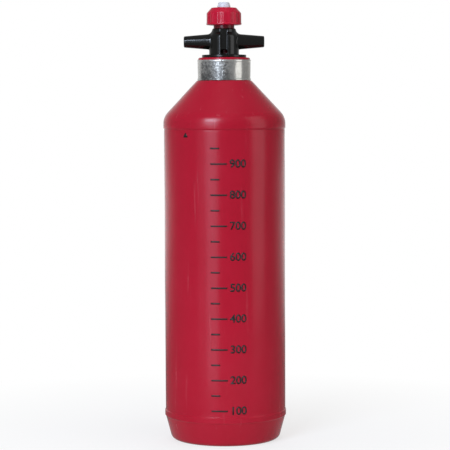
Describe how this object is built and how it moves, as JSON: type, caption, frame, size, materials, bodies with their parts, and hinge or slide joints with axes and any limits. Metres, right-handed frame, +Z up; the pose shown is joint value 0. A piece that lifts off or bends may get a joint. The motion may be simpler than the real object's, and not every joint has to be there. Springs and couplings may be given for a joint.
{
  "type": "camping fuel bottle",
  "caption": "Round plastic fuel bottle with a metal neck ring and a screw-in winged valve head: a locking knob is loosened, then pressed to pour.",
  "frame": {"origin": "middle of the plane that the bottle's foot stands on", "axes": "+Z up the bottle's axis, X along the valve head's wings, -Y is the front with the pouring port"},
  "size_m": [0.0832, 0.0832, 0.2979],
  "materials": {
    "bottle_red": "satin",
    "ferrule_metal": "scuffed",
    "black_rubber": "matte",
    "housing_black": "gloss",
    "small_steel": "plain",
    "natural_plastic": "satin",
    "stem_red": "satin",
    "cap_white": "satin",
    "knob_red": "gloss"
  },
  "bodies": {
    "bottle": {"bottle_shell": "bottle_red", "neck_ferrule": "ferrule_metal"},
    "gasket": {"neck_gasket": "black_rubber"},
    "valve_head": {"valve_housing": "housing_black", "valve_seat": "natural_plastic", "stem_oring": "black_rubber", "gland_washer": "small_steel", "return_spring": "small_steel"},
    "stem": {"valve_stem": "stem_red", "stem_cap": "cap_white", "valve_seal": "black_rubber", "valve_disc": "natural_plastic", "disc_clip": "small_steel"},
    "washer": {"thrust_washer": "small_steel"},
    "knob": {"lock_knob": "knob_red"}
  },
  "joints": [
    {"name": "head_lift", "type": "slide", "parent": "bottle", "child": "gasket", "axis": [0, 0, 1], "range_m": [0, 0.027]},
    {"name": "head_turn", "type": "hinge", "parent": "gasket", "child": "valve_head", "pos_m": [0, 0, 0.2605], "axis": [0, 0, 1], "range_deg": [0, 3240]},
    {"name": "press", "type": "slide", "parent": "valve_head", "child": "stem", "axis": [0, 0, -1], "range_m": [0, 0.002], "stiffness_N_per_m": 500, "springref_m": -0.006, "deforming": ["return_spring"]},
    {"name": "knob_lift", "type": "slide", "parent": "stem", "child": "washer", "axis": [0, 0, 1], "range_m": [0, 0.003], "deforming": ["return_spring"]},
    {"name": "knob_turn", "type": "hinge", "parent": "washer", "child": "knob", "pos_m": [0, 0, 0.283], "axis": [0, 0, 1], "range_deg": [0, 540]}
  ],
  "couplings": [
    {"joint": "head_lift", "follows": "head_turn", "m_per_rad": 0.00047746},
    {"joint": "knob_lift", "follows": "knob_turn", "m_per_rad": 0.00031831}
  ]
}
